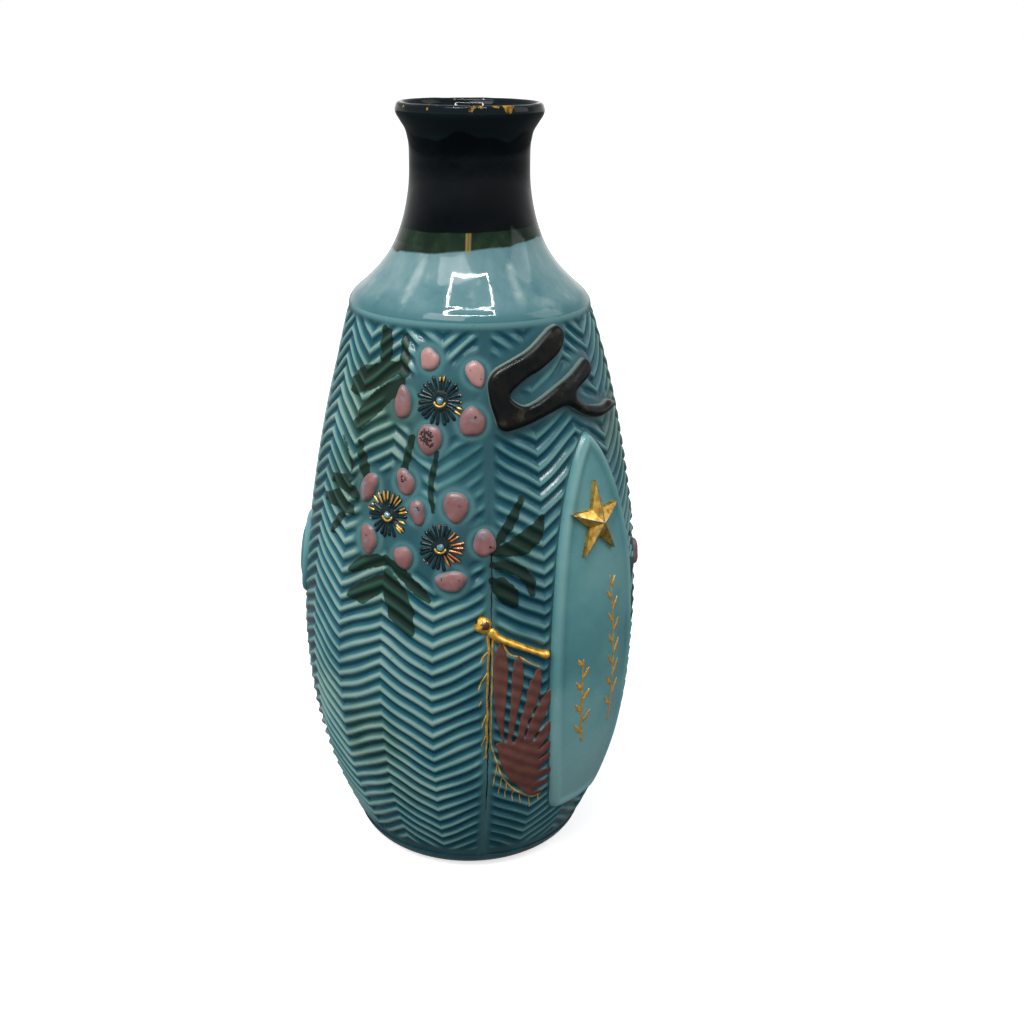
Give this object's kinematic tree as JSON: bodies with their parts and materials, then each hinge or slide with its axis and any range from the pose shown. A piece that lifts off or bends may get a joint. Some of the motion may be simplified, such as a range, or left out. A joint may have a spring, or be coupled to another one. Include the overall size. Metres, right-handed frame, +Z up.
{
  "type": "sake bottle",
  "caption": "Glazed ceramic sake bottle with a flared neck, zigzag ribbed body, arched panel, raised blossoms, star and gilt banner",
  "frame": {"origin": "middle of the foot's resting plane", "axes": "+Z up along the bottle's axis, -Y out through the arched panel"},
  "size_m": [0.075, 0.0763, 0.165],
  "materials": {
    "turquoise_glaze": "glossy glaze, deep teal in the grooves and pale on the ribs",
    "pale_glaze": "smooth glossy pale turquoise glaze",
    "black_glaze": "glossy blue-black glaze",
    "pink_enamel": "satin salmon-pink overglaze enamel",
    "stamen_glaze": "glossy dark green strokes on turquoise with gilt tips",
    "gilding": "worn overglaze gold on ceramic",
    "red_enamel": "matte brown-red overglaze enamel"
  },
  "bodies": {
    "root": {"base_slab": "turquoise_glaze", "body_half_left": "turquoise_glaze", "body_half_right": "turquoise_glaze", "shoulder": "pale_glaze", "neck": "black_glaze", "arched_panel": "pale_glaze", "star": "gilding", "bough": "black_glaze", "boss": "turquoise_glaze", "petal_top_1": "pink_enamel", "petal_far_top_1": "pink_enamel", "petal_top_2": "pink_enamel", "petal_far_top_2": "pink_enamel", "petal_top_3": "pink_enamel", "petal_far_top_3": "pink_enamel", "petal_top_4": "pink_enamel", "petal_far_top_4": "pink_enamel", "petal_top_5": "pink_enamel", "petal_far_top_5": "pink_enamel", "petal_left_1": "pink_enamel", "petal_far_left_1": "pink_enamel", "petal_left_2": "pink_enamel", "petal_far_left_2": "pink_enamel", "petal_left_3": "pink_enamel", "petal_far_left_3": "pink_enamel", "petal_left_4": "pink_enamel", "petal_far_left_4": "pink_enamel", "petal_left_5": "pink_enamel", "petal_far_left_5": "pink_enamel", "petal_low_1": "pink_enamel", "petal_far_low_1": "pink_enamel", "petal_low_2": "pink_enamel", "petal_far_low_2": "pink_enamel", "petal_low_3": "pink_enamel", "petal_far_low_3": "pink_enamel", "stamens_top": "stamen_glaze", "stamens_far_top": "stamen_glaze", "stamens_left": "stamen_glaze", "stamens_far_left": "stamen_glaze", "stamens_low": "stamen_glaze", "stamens_far_low": "stamen_glaze", "flag_staff": "gilding", "flag_sun": "red_enamel"}
  },
  "joints": []
}
